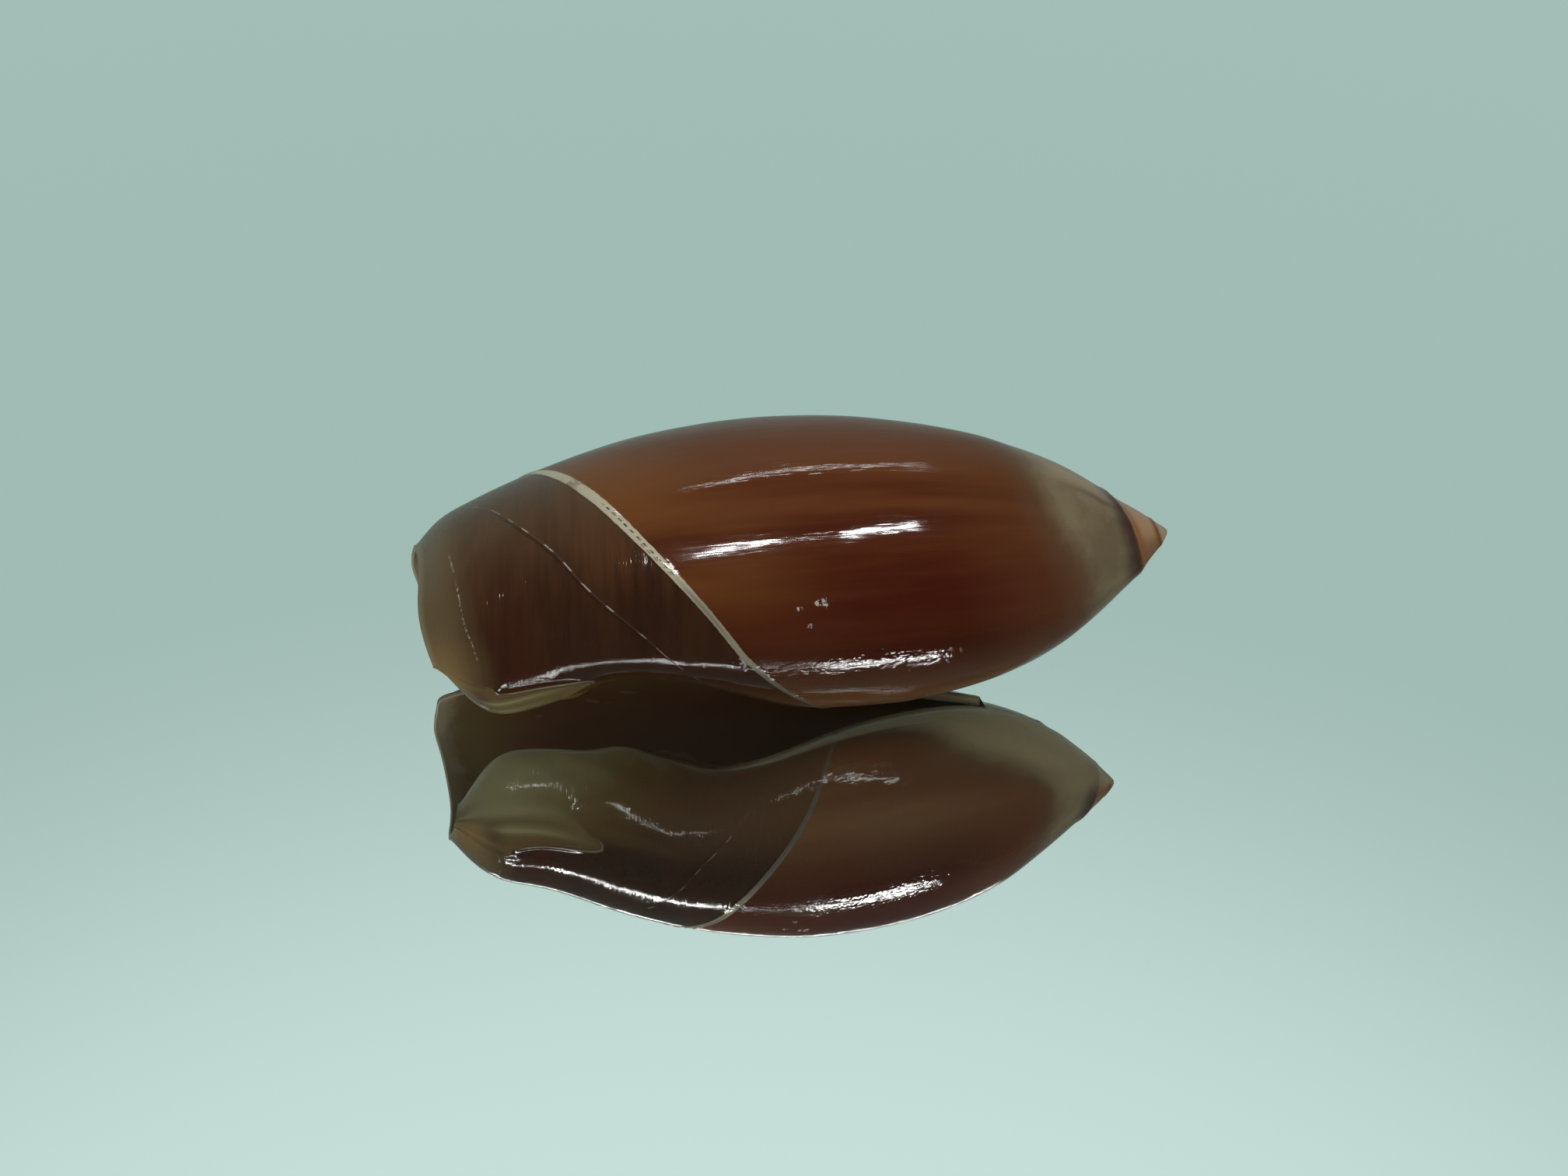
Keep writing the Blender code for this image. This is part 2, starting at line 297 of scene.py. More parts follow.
class Line:
    """A marking that runs round the shell: its place on X against the angle, in degrees."""

    def __init__(self, knots: Knots) -> None:
        """Keep the marking's course as a curve."""
        self.course = Curve(knots)

    def distance(self, x: np.ndarray, degrees: np.ndarray, radius: np.ndarray) -> np.ndarray:
        """The signed distance to the marking, positive towards the apex.

        Args:
            x: places on X.
            degrees: angles round the shell.
            radius: the length of one degree of the section there.

        Returns:
            Distances in millimetres.
        """
        slope = (self.course(degrees + 0.5) - self.course(degrees - 0.5)) / np.maximum(radius, 1e-3)
        return (x - self.course(degrees)) / np.sqrt(1.0 + slope ** 2)


def line(*knots: tuple[float, float]) -> Line:
    """A dataclass field that holds a marking's line."""
    return field(default_factory=lambda: Line(knots))


@dataclass
class Markings:
    """Where the shell's bands, grooves and calluses run."""

    groove_half: Curve = curve(
        (-80.0, 0.15), (60.0, 0.19), (110.0, 0.205), (140.0, 0.165), (180.0, 0.14), (230.0, 0.125),
        (270.0, 0.10))
    groove: Line = line(
        (-75.0, -15.3), (-40.0, -15.1), (0.0, -14.1), (35.0, -12.6), (60.0, -11.35), (80.0, -10.2),
        (106.0, -8.5), (128.0, -6.85), (152.0, -4.8), (170.0, -3.35), (195.0, -1.65), (215.0, -0.2),
        (235.0, 0.95), (255.0, 1.7), (270.0, 2.25))
    crease: Line = line(
        (20.0, -18.0), (60.0, -15.2), (76.0, -13.95), (94.0, -12.75), (114.0, -11.35), (128.0, -10.3),
        (143.0, -9.3), (157.0, -8.1), (176.0, -6.3), (190.0, -5.35), (206.0, -4.45), (226.0, -2.95),
        (246.0, -1.7), (270.0, -0.6))
    callus: Line = line(
        (-80.0, 9.2), (-40.0, 8.6), (0.0, 8.5), (40.0, 8.9), (83.0, 9.7), (113.0, 10.8), (143.0, 12.0),
        (165.0, 12.9), (185.0, 13.5), (205.0, 13.85), (220.0, 13.5), (230.0, 12.4), (239.0, 10.6),
        (251.0, 8.5), (262.0, 7.1), (270.0, 5.2), (290.0, 1.0))
    suture: Line = line(
        (-80.0, 13.3), (0.0, 14.0), (60.0, 14.5), (84.0, 14.8), (105.0, 15.25), (130.0, 15.62),
        (155.0, 15.9), (186.0, 16.2), (230.0, 16.45), (290.0, 16.62))
    first_whorl: Line = line(
        (-80.0, 16.6), (60.0, 16.82), (110.0, 16.98), (160.0, 17.2), (290.0, 17.5))
    lobe: Line = line(
        (178.0, -16.6), (183.0, -13.9), (189.0, -13.3), (194.5, -12.5), (198.0, -11.0), (202.0, -9.5),
        (208.0, -9.2), (218.0, -10.2), (228.0, -10.0), (239.0, -9.2), (252.0, -8.35), (263.0, -7.6),
        (275.0, -6.6), (300.0, -5.4), (360.0, -4.4))
    ridge_at: Curve = curve(
        (-80.0, 1.0), (76.0, 1.1), (104.0, 1.4), (124.0, 1.8), (144.0, 2.0), (157.0, 2.2), (170.0, 2.3),
        (200.0, 2.0), (280.0, 1.2))
    chips: Sequence[tuple[float, float]] = ((160.0, -0.3), (158.4, 0.45), (157.4, 0.72), (159.4, 0.76),
                                            (167.5, 0.13))


class Kind(Enum):
    """The parts of the surface that one section's loop passes over."""

    OUTER = 0
    COLUMELLA = 1
    INNER = 2


@dataclass
class ShellBody:
    """The whole shell as one closed mesh, with its relief and the fields that its finish reads."""

    form: ShellForm = field(default_factory=ShellForm)
    markings: Markings = field(default_factory=Markings)
    name: str = "shell_body"
    cad_node: str = "shell"
    rows_open: int = 186
    rows_spire: int = 64
    inner_points: int = 90
    foot_points: int = 12
    rest_points: int = 32
    over_lip: int = 40
    over_far: int = 62
    over_near: int = 79
    evened_mm: float = 6.0
    inset: float = 0.9994

    def core_points(self) -> int:
        """Points up the columella, its foot among them."""
        return self.foot_points + self.rest_points

    def outer_points(self) -> int:
        """Points over the outside: two for each point that they face across the front rim."""
        return 2 * (self.inner_points + self.core_points()) - 1

    def outer_angles(self, start: float) -> np.ndarray:
        """Angles over the outside of a section, from the lip to just before the base."""
        over_base = self.outer_points() - self.over_lip - self.over_far - self.over_near
        return np.concatenate([
            np.linspace(start, 0.0, self.over_lip, endpoint=False),
            np.linspace(0.0, CREST, self.over_far, endpoint=False),
            np.linspace(CREST, NEAR_SIDE, self.over_near, endpoint=False),
            np.linspace(NEAR_SIDE, BASE, over_base, endpoint=False),
        ])

    def open_ring(self, x: float) -> tuple[np.ndarray, np.ndarray, np.ndarray]:
        """One section that the aperture opens.

        Args:
            x: the section's place.

        Returns:
            The points (y, z), their angles, and which kind of surface each is on.
        """
        form = self.form
        start, ends = -form.lip_angle(x), float(form.hollow_end(x))
        out = self.outer_angles(start)
        step = np.arange(self.outer_points()) / 2.0
        last, rest = self.inner_points - 1, self.core_points() + 1
        facing = np.where(step <= last, start + (ends - start) * step / last,
                          ends + (BASE - ends) * (step - last) / rest)
        out = facing + (out - facing) * smooth((x - form.front_x) / self.evened_mm)
        share = form.foot_share(x)
        shares = np.concatenate([
            np.linspace(0.0, share, self.foot_points + 1),
            np.linspace(share, 1.0, self.rest_points + 1)[1:-1],
        ])
        back = np.linspace(ends, start, self.inner_points)
        points = np.vstack([form.outside(x, out), form.core(x, shares), form.inside(x, back)])
        degrees = np.concatenate([out, BASE + CREST * shares, back])
        kinds = np.repeat([Kind.OUTER.value, Kind.COLUMELLA.value, Kind.INNER.value],
                          [len(out), len(shares), len(back)])
        return points, degrees, kinds

    def closed_angles(self) -> np.ndarray:
        """Angles round a section behind the aperture.

        Returns:
            The angles in degrees, from the seam once round to just before it.
        """
        form = self.form
        last = FULL_TURN - form.seam_deg - form.seam_width_deg
        return np.concatenate([self.outer_angles(-form.seam_deg),
                               np.linspace(BASE, last, self.foot_points + 1)])

    def places(self) -> tuple[np.ndarray, np.ndarray]:
        """Where the sections stand.

        Returns:
            The places of the open sections, from the front edge back, and of the closed ones.
        """
        form = self.form
        t = np.linspace(0.0, 1.0, self.rows_open)
        run = form.insertion_x - form.front_x
        front = form.front_x + run * (0.12 * t + 1.2 * t ** 2 - 0.32 * t ** 3)
        q = np.linspace(math.sqrt(APEX_X - form.insertion_x), 0.0, self.rows_spire + 1)
        return front, (APEX_X - q ** 2)[1:-1]

    def gather(self) -> "Fields":
        """Set out the sections.

        Returns:
            Every point of the mesh, ring by ring, with the fields that go with it.
        """
        form = self.form
        front, spire = self.places()
        points, degrees, kinds, radii, stations = [], [], [], [], []
        for x in front:
            ring, angles, kind = self.open_ring(float(x))
            round_it = np.where(kind == Kind.COLUMELLA.value,
                                BASE + (angles - BASE) * (form.hollow_end(x) - BASE) / CREST, angles)
            ahead = form.front_edge(round_it) * (1.0 - smooth((x - form.front_x) / form.front_fade))
            points.append(np.column_stack([x - ahead, ring]))
            degrees.append(angles)
            kinds.append(kind)
            radii.append(self.degree_length(float(x), round_it))
            stations.append(np.full(len(ring), x))
        around = self.closed_angles()
        for x in spire:
            ring = form.outside(float(x), around)
            points.append(np.column_stack([np.full(len(ring), x), ring]))
            degrees.append(around)
            kinds.append(np.zeros(len(ring), int))
            radii.append(self.degree_length(float(x), around))
            stations.append(np.full(len(ring), x))
        points.append(np.array([[APEX_X, form.crest_y(APEX_X), form.crest_z(APEX_X)]]))
        degrees.append(np.array([CREST]))
        kinds.append(np.array([0]))
        radii.append(np.array([0.01]))
        stations.append(np.array([APEX_X]))
        return Fields(np.vstack(points), np.concatenate(degrees), np.concatenate(kinds),
                      np.concatenate(radii), np.concatenate(stations), form, self.markings)

    def build(self) -> bpy.types.Object:
        """Make the shell's object, with its fields as mesh attributes.

        Returns:
            The new object, in the row frame, in metres.
        """
        body = self.gather()
        mesh = bpy.data.meshes.new(self.name)
        mesh.from_pydata((body.points * MM).tolist(), [], self.faces())
        mesh.update()
        normals = np.zeros(len(mesh.vertices) * 3, np.float32)
        mesh.vertices.foreach_get("normal", normals)
        raised = body.points + normals.reshape(-1, 3) * body.relief()[:, None]
        mesh.vertices.foreach_set("co", self.into_box(raised).astype(np.float32).ravel())
        for name, values in body.attributes().items():
            layer = mesh.attributes.new(name, "FLOAT", "POINT")
            layer.data.foreach_set("value", values.astype(np.float32))
        mesh.shade_smooth()
        mesh.update()
        made = bpy.data.objects.new(self.name, mesh)
        bpy.context.scene.collection.objects.link(made)
        return made

    def degree_length(self, x: float, degrees: np.ndarray) -> np.ndarray:
        """The length of one degree of the outer section at each angle."""
        step = self.form.outside(x, degrees + 0.5) - self.form.outside(x, degrees - 0.5)
        return np.linalg.norm(step, axis=-1)

    def into_box(self, points: np.ndarray) -> np.ndarray:
        """Fit points into the CAD solid's box, a hair inside it.

        Args:
            points: positions in millimetres, in the shell's own measures.

        Returns:
            Positions in metres, in the row frame.
        """
        low, high = (np.array(corner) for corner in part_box(self.cad_node))
        least, most = points.min(0), points.max(0)
        scale = (high - low) / (most - least) * self.inset
        return (low + high) / 2 + (points - (least + most) / 2) * scale

    def faces(self) -> list[tuple[int, ...]]:
        """Join the rings, the front rim and the apex.

        Returns:
            The faces of the closed mesh. All of them point in, but for the one that ends the hollow.
        """
        loop = self.outer_points() + self.core_points() + self.inner_points
        seam = self.outer_points() + self.foot_points + 1
        made = []
        for r in range(self.rows_open - 1):
            a, b = r * loop, (r + 1) * loop
            for j in range(loop):
                k = (j + 1) % loop
                made.append((a + j, b + j, b + k, a + k))
        for p in range(self.inner_points + self.core_points() - 1):
            a, facing = 2 * p, loop - 1 - p
            made.append((a + 2, facing - 1, a + 1))
            made.append((facing - 1, facing, a, a + 1))
        last = (self.rows_open - 1) * loop
        made.append(tuple([last + j for j in range(seam - 1, loop)] + [last]))
        base = self.rows_open * loop
        starts = [last] + [base + i * seam for i in range(self.rows_spire - 1)]
        for a, b in zip(starts, starts[1:]):
            for j in range(seam):
                k = (j + 1) % seam
                made.append((a + j, b + j, b + k, a + k))
        tip = base + (self.rows_spire - 1) * seam
        for j in range(seam):
            made.append((starts[-1] + j, tip, starts[-1] + (j + 1) % seam))
        return made


@dataclass(frozen=True)
class Relief:
    """How far each marking moves the surface along the mesh's normals, in millimetres.

    The normals point in, so at present a cut stands out of the shell and a rise sinks into it.
    """

    groove_cut: float = 0.045
    groove_lip: float = 0.022
    crease_rise: float = 0.009
    crease_cut: float = 0.016
    lobe_rise: float = 0.06
    lobe_cut: float = 0.10
    ridge_rise: float = 0.022
    callus_rise: float = 0.06
    suture_cut: float = 0.05
    suture_rise: float = 0.03
    whorl_cut: float = 0.03
    plait_rise: float = 0.05
    long_wave: float = 0.010
    short_wave: float = 0.003
    edge_drop: float = 0.075
    edge_width: float = 0.22


@dataclass
class Fields:
    """Distances to the markings at every point of the mesh, and the relief that they give."""

    points: np.ndarray
    degrees: np.ndarray
    kinds: np.ndarray
    radii: np.ndarray
    stations: np.ndarray
    form: ShellForm
    markings: Markings
    sizes: Relief = field(default_factory=Relief)

    def __post_init__(self) -> None:
        """Work out the distances once."""
        x, turn, radius = self.points[:, 0], self.degrees, self.radii
        marks = self.markings
        self.outer = (self.kinds == Kind.OUTER.value).astype(float)
        self.columella = (self.kinds == Kind.COLUMELLA.value).astype(float)
        self.inner = (self.kinds == Kind.INNER.value).astype(float)
        self.groove = marks.groove.distance(x, turn, radius)
        self.groove_half = marks.groove_half(turn)
        self.crease = marks.crease.distance(x, turn, radius)
        self.callus = marks.callus.distance(x, turn, radius)
        self.suture = marks.suture.distance(x, turn, radius)
        self.whorl = marks.first_whorl.distance(x, turn, radius)
        self.lobe = -marks.lobe.distance(x, turn, radius)
        self.from_front = self.stations - self.form.front_x
        self.ridge = self.from_front - marks.ridge_at(turn)
        spots = [np.hypot(x - place, (turn - angle) * radius) for angle, place in marks.chips]
        self.chips = np.where(self.outer > 0, np.min(spots, axis=0), FAR_OFF)
        places = np.unique(self.stations)
        lip = np.interp(self.stations, places, [self.form.lip_angle(float(s)) for s in places])
        from_lip = np.where(self.stations < self.form.insertion_x, (turn + lip) * radius, FAR_OFF)
        self.edge = np.minimum(self.from_front, np.where(self.columella > 0, FAR_OFF, from_lip))

    def relief(self) -> np.ndarray:
        """Add up the reliefs of all the markings.

        Returns:
            How far each point moves along its normal, which points in, in millimetres.
        """
        turn, x, size = self.degrees, self.points[:, 0], self.sizes
        across = np.abs(self.groove) / self.groove_half
        low = 1.0 - smooth((turn - 264.0) / 6.0)
        groove = -size.groove_cut * smooth((1.0 - across) / 0.5) + size.groove_lip * hump(across - 1.25, 0.35)
        near = smooth((turn - 70.0) / 25.0)
        beads = 0.5 + 0.5 * np.sin(np.radians(turn) * 47.0 + 3.0 * np.sin(np.radians(turn) * 17.0))
        crease = size.crease_rise * hump(self.crease - 0.03, 0.07)
        crease = crease - size.crease_cut * hump(self.crease + 0.13, 0.12)
        crease = crease * near * (0.15 + 0.85 * smooth(beads * 1.6 - 0.4))
        under = smooth((turn - 180.0) / 8.0) * smooth((-8.4 - x) / 2.0) * smooth((262.0 - turn) / 30.0)
        lobe = (size.lobe_rise * smooth(self.lobe / 0.9) - size.lobe_cut * hump(self.lobe, 0.2)) * under
        seen = smooth((turn - 70.0) / 20.0) * smooth((205.0 - turn) / 15.0)
        ridge = size.ridge_rise * hump(self.ridge, 0.13) * seen
        callus = size.callus_rise * smooth(0.5 + self.callus / 1.8) * smooth((16.4 - x) / 1.2)
        suture = size.suture_rise * hump(self.suture - 0.45, 0.3)
        suture = suture - size.suture_cut * hump(self.suture + 0.12, 0.2)
        whorl = -size.whorl_cut * hump(self.whorl, 0.1)
        total = (groove + crease) * low + lobe + ridge + callus + suture + whorl + self.ripples()
        plaits = size.plait_rise * np.sin((turn - 262.0) * 0.21 + x * 2.1) * smooth((turn - 240.0) / 18.0)
        plaits = plaits * smooth((300.0 - turn) / 20.0) * hump(x + 8.5, 4.0) * (1.0 - self.inner)
        near_edge = np.clip(self.edge / size.edge_width, 0.0, 1.0)
        edge = -size.edge_drop * (1.0 - np.sqrt(1.0 - (1.0 - near_edge) ** 2))
        return self.outer * total + plaits + edge

    def ripples(self) -> np.ndarray:
        """Faint waves in the glaze, longer along the shell than round it.

        Returns:
            The height of the waves at each point, in millimetres.
        """
        turn, x = np.radians(self.degrees), self.points[:, 0]
        long_waves = np.sin(x * 0.9 + 2.0 * np.sin(3.0 * turn)) * np.sin(9.0 * turn + 0.35 * x)
        short_waves = np.sin(x * 2.3 + 4.0 * turn) * np.sin(23.0 * turn - 0.8 * x)
        return self.sizes.long_wave * long_waves + self.sizes.short_wave * short_waves

    def attributes(self) -> dict[str, np.ndarray]:
        """The named values that the shell's finish reads at each point."""
        return {
            "groove": self.groove,
            "groove_share": self.groove / self.groove_half,
            "crease": self.crease,
            "callus": self.callus,
            "suture": self.suture,
            "whorl": self.whorl,
            "lobe": self.lobe,
            "ridge": self.ridge,
            "chips": self.chips,
            "edge": self.edge,
            "from_front": self.from_front,
            "turn": self.degrees,
            "inner": self.inner,
            "columella": self.columella,
        }


class NodeKit:
    """Short ways to add shader nodes to one tree."""

    def __init__(self, tree: Tree) -> None:
        """Work on one node tree."""
        self.tree = tree

    def feed(self, value: object, socket: Socket) -> None:
        """Give a socket its value.

        Args:
            value: another node's socket, or a plain number, vector or colour.
            socket: the socket to feed.
        """
        if isinstance(value, Socket):
            self.tree.links.new(value, socket)
        else:
            socket.default_value = (*value, 1.0) if socket.type == "RGBA" else value

    def put(self, kind: str, inputs: dict | None = None, **settings: object) -> Node:
        """Add a node.

        Args:
            kind: the node's type name.
            inputs: what goes in each socket, by name or number.
            settings: the node's own settings.

        Returns:
            The node.
        """
        node = self.tree.nodes.new(kind)
        for name, value in settings.items():
            setattr(node, name, value)
        for key, value in (inputs or {}).items():
            self.feed(value, node.inputs[key])
        return node

    def read(self, name: str) -> Socket:
        """The value of one of the mesh's named attributes."""
        return self.put("ShaderNodeAttribute", attribute_name=name).outputs["Fac"]

    def math(self, operation: str, *values: object) -> Socket:
        """One step of arithmetic."""
        return self.put("ShaderNodeMath", dict(enumerate(values)), operation=operation).outputs[0]

    def product(self, *values: object) -> Socket:
        """Several values multiplied together."""
        return reduce(lambda made, value: self.math("MULTIPLY", made, value), values)

    def total(self, *values: object) -> Socket:
        """Several values added together."""
        return reduce(lambda made, value: self.math("ADD", made, value), values)

    def scaled(self, value: object, factor: object, plus: object) -> Socket:
        """A value multiplied by a factor, plus another value."""
        return self.math("MULTIPLY_ADD", value, factor, plus)

    def rest(self, share: object) -> Socket:
        """What a share leaves of the whole."""
        return self.math("SUBTRACT", 1.0, share)

    def ramp(self, value: object, low: float, high: float, to_low: float = 0.0,
             to_high: float = 1.0) -> Socket:
        """A smooth rise of a value between two limits."""
        limits = {"Value": value, "From Min": low, "From Max": high, "To Min": to_low, "To Max": to_high}
        return self.put("ShaderNodeMapRange", limits, interpolation_type="SMOOTHSTEP").outputs["Result"]

    def stripe(self, value: object, centre: float, half: float, soft: float) -> Socket:
        """A soft-edged stripe: 1 where the value is within half of the centre."""
        off = self.math("ABSOLUTE", self.math("SUBTRACT", value, centre))
        return self.ramp(off, half + soft, half - soft)

    def blend(self, share: object, first: Socket | Colour, second: Socket | Colour) -> Socket:
        """A mix of two colours, with so large a share of the second."""
        colours = {0: share, 6: first, 7: second}
        return self.put("ShaderNodeMix", colours, data_type="RGBA", clamp_factor=True).outputs[2]

    def around(self, along: float, across: float, shift: float = 0.0) -> Socket:
        """A place for textures that follows the shell's form: along it, and round it by angle.

        Args:
            along: texture units for a millimetre along the shell.
            across: the radius of one turn, in texture units.
            shift: a start of its own along the shell.

        Returns:
            The vector's socket.
        """
        place = self.put("ShaderNodeSeparateXYZ", {0: self.put("ShaderNodeTexCoord").outputs["Object"]})
        turn = self.math("RADIANS", self.read("turn"))
        return self.put("ShaderNodeCombineXYZ", {
            "X": self.scaled(place.outputs["X"], along / MM, shift),
            "Y": self.product(self.math("COSINE", turn), across),
            "Z": self.product(self.math("SINE", turn), across),
        }).outputs["Vector"]

    def inside(self, fineness: float) -> Socket:
        """Places in the object, with so many texture units to a millimetre."""
        sizes = {"Vector": self.put("ShaderNodeTexCoord").outputs["Object"], "Scale": (fineness / MM,) * 3}
        return self.put("ShaderNodeMapping", sizes).outputs["Vector"]

    def noise(self, vector: Socket, scale: object = 1.0, detail: float = 3.0, rough: float = 0.5,
              twist: float = 0.0) -> Socket:
        """Cloudy noise from 0 to 1."""
        inputs = {"Vector": vector, "Scale": scale, "Detail": detail, "Roughness": rough, "Distortion": twist}
        return self.put("ShaderNodeTexNoise", inputs).outputs["Fac"]


class Paint:
    """A colour that is built up in layers."""

    def __init__(self, kit: NodeKit, base: Socket | Colour) -> None:
        """Start from a base colour."""
        self.kit, self.colour = kit, base

    def lay(self, colour: Socket | Colour, *shares: object) -> None:
        """Lay a colour over the others, by the product of its shares."""
        self.colour = self.kit.blend(self.kit.product(*shares), self.colour, colour)


def new_group(name: str, takes: dict[str, str], gives: Sequence[str]) -> tuple[NodeKit, Node, Node]:
    """Start a node group.

    Args:
        name: the group's name.
        takes: its inputs, each with its socket type.
        gives: its outputs, all of them numbers.

    Returns:
        A kit for the group's tree, its input node and its output node.
    """
    group = bpy.data.node_groups.new(name, "ShaderNodeTree")
    for socket, kind in takes.items():
        group.interface.new_socket(socket, in_out="INPUT", socket_type=kind)
    for socket in gives:
        group.interface.new_socket(socket, in_out="OUTPUT", socket_type="NodeSocketFloat")
    kit = NodeKit(group)
    return kit, kit.put("NodeGroupInput"), kit.put("NodeGroupOutput")


@dataclass(frozen=True)
class GrowthGroup:
    """A node group for growth streaks: soft bands of shade with finer lines in them."""

    name: str = "growth_streaks"

    def build(self) -> Tree:
        """Make the group.

        Returns:
            The group, with Vector in, and Broad, Fine and Height out.
        """
        kit, source, out = new_group(self.name, {"Vector": "NodeSocketVector"}, ("Broad", "Fine", "Height"))
        vector = source.outputs["Vector"]
        broad = kit.noise(vector, 1.0, 2.0, 0.5, 0.4)
        fine = kit.noise(vector, 4.0, 4.0, 0.6, 0.2)
        hair = kit.noise(vector, 13.0, 2.0)
        kit.feed(kit.ramp(broad, 0.3, 0.7), out.inputs["Broad"])
        kit.feed(kit.ramp(fine, 0.3, 0.7), out.inputs["Fine"])
        kit.feed(kit.total(kit.product(fine, 0.5), kit.product(hair, 0.5)), out.inputs["Height"])
        return kit.tree


@dataclass(frozen=True)
class SpeckGroup:
    """A node group that breaks a line or a patch into specks, as a mask."""

    name: str = "specks"

    def build(self) -> Tree:
        """Make the group.

        Returns:
            The group, with Scale and Cover in, and Mask out.
        """
        takes = {"Scale": "NodeSocketFloat", "Cover": "NodeSocketFloat"}
        kit, source, out = new_group(self.name, takes, ("Mask",))
        cloud = kit.noise(kit.inside(1.0), source.outputs["Scale"], 3.0, 0.7)
        over = kit.math("SUBTRACT", cloud, kit.rest(source.outputs["Cover"]))
        kit.feed(kit.ramp(over, -0.04, 0.05), out.inputs["Mask"])
        return kit.tree


@dataclass(frozen=True)
class Enamel:
    """The shell's polished finish, with all of its colours.

    The marks are placed by angle, in degrees, and by distance from the markings' lines, in
    millimetres. A share is how strongly a colour covers what is under it, from 0 to 1.
    """

    chestnut: Colour = (0.097, 0.030, 0.0085)
    deep: Colour = (0.042, 0.0050, 0.0010)
    # Darker brown for the body's lower side: partly its own tone, partly painted shade.
    dusk_and_shade: Colour = (0.022, 0.0055, 0.0014)
    # Lighter brown for the lower body and the underside: partly its own tone, partly a painted sheen and
    # painted light from below.
    umber_sheen_and_light: Colour = (0.140, 0.074, 0.032)
    amber: Colour = (0.128, 0.047, 0.011)
    milky: Colour = (0.080, 0.029, 0.010)
    olive: Colour = (0.074, 0.042, 0.021)
    plum: Colour = (0.050, 0.020, 0.0075)
    plum_dark: Colour = (0.018, 0.0060, 0.0024)
    russet: Colour = (0.038, 0.010, 0.004)
    rim: Colour = (0.106, 0.074, 0.034)
    rim_low: Colour = (0.215, 0.142, 0.054)
    rim_shade: Colour = (0.066, 0.042, 0.017)
    # Pale edge colour; along the lobe's upper edge it is a painted sheen.
    rim_edge: Colour = (0.21, 0.185, 0.120)
    band: Colour = (0.38, 0.36, 0.26)
    band_mid: Colour = (0.20, 0.178, 0.125)
    band_low: Colour = (0.088, 0.083, 0.062)
    band_core: Colour = (0.050, 0.015, 0.008)
    silver: Colour = (0.36, 0.34, 0.30)
    callus: Colour = (0.104, 0.080, 0.045)
    callus_pale: Colour = (0.148, 0.118, 0.066)
    callus_low: Colour = (0.220, 0.178, 0.102)
    callus_warm: Colour = (0.230, 0.174, 0.108)
    callus_edge: Colour = (0.082, 0.050, 0.026)
    streak: Colour = (0.056, 0.032, 0.015)
    bluish: Colour = (0.105, 0.108, 0.085)
    suture: Colour = (0.036, 0.018, 0.015)
    rust: Colour = (0.17, 0.066, 0.020)
    whorl: Colour = (0.26, 0.165, 0.086)
    tip: Colour = (0.25, 0.20, 0.11)
    # The whorls' lower side, darker as painted shade.
    whorl_shade: Colour = (0.11, 0.064, 0.032)
    lobe_edge: Colour = (0.100, 0.060, 0.022)
    lobe: Colour = (0.118, 0.092, 0.038)
    lobe_pale: Colour = (0.190, 0.168, 0.084)
    # Olive for the underside, lightened as painted light from below.
    moss: Colour = (0.092, 0.056, 0.015)
    # Lining colours, lightened as painted light against the shade inside; the pale edge is partly painted
    # light through the thin lip.
    lining: Colour = (0.200, 0.090, 0.046)
    lining_mid: Colour = (0.190, 0.130, 0.052)
    lining_edge: Colour = (0.32, 0.27, 0.17)
    # Parietal brown, lightened as painted light from below.
    parietal: Colour = (0.070, 0.042, 0.022)
    bump_strength: float = 0.55
    bump_mm: float = 0.03
    smoothest: float = 0.06
    dullest: float = 0.15
    coat: float = 0.06
    coat_roughness: float = 0.05
    bending: float = 1.5
    specular: float = 0.4

    def dress(self, piece: bpy.types.Object, growth: Tree, specks: Tree) -> None:
        """Make the finish and give it to a piece.

        Args:
            piece: the shell's object.
            growth: the group for growth streaks.
            specks: the group for specks.
        """
        made = bpy.data.materials.new("shell_enamel")
        made.use_nodes = True
        kit = NodeKit(made.node_tree)
        shader = made.node_tree.nodes["Principled BSDF"]
        along = kit.put("ShaderNodeGroup", {"Vector": kit.around(0.035, 2.4)}, node_tree=growth)
        across = kit.put("ShaderNodeGroup", {"Vector": kit.around(0.75, 0.55, 4.0)}, node_tree=growth)
        dust = kit.put("ShaderNodeGroup", {"Scale": 2.6, "Cover": 0.55}, node_tree=specks).outputs["Mask"]
        grit = kit.put("ShaderNodeGroup", {"Scale": 7.0, "Cover": 0.5}, node_tree=specks).outputs["Mask"]
        paint = Paint(kit, self.front_colour(kit, across))
        paint.lay(self.back_colour(kit, along), kit.ramp(kit.read("groove"), -0.04, 0.04))
        self.mark_lines(paint, dust, grit)
        self.mark_spire(paint, dust)
        self.mark_underside(paint, along)
        kit.feed(paint.colour, shader.inputs["Base Color"])
        self.gloss(kit, shader, along, across)
        piece.data.materials.append(made)

    def back_colour(self, kit: NodeKit, along: Node) -> Socket:
        """Chestnut with soft amber and deep red streaks, for the body behind the pale line.

        Args:
            kit: the material's node kit.
            along: streaks along the shell.

        Returns:
            The colour.
        """
        groove, turn, callus = kit.read("groove"), kit.read("turn"), kit.read("callus")
        broad, fine = along.outputs["Broad"], along.outputs["Fine"]
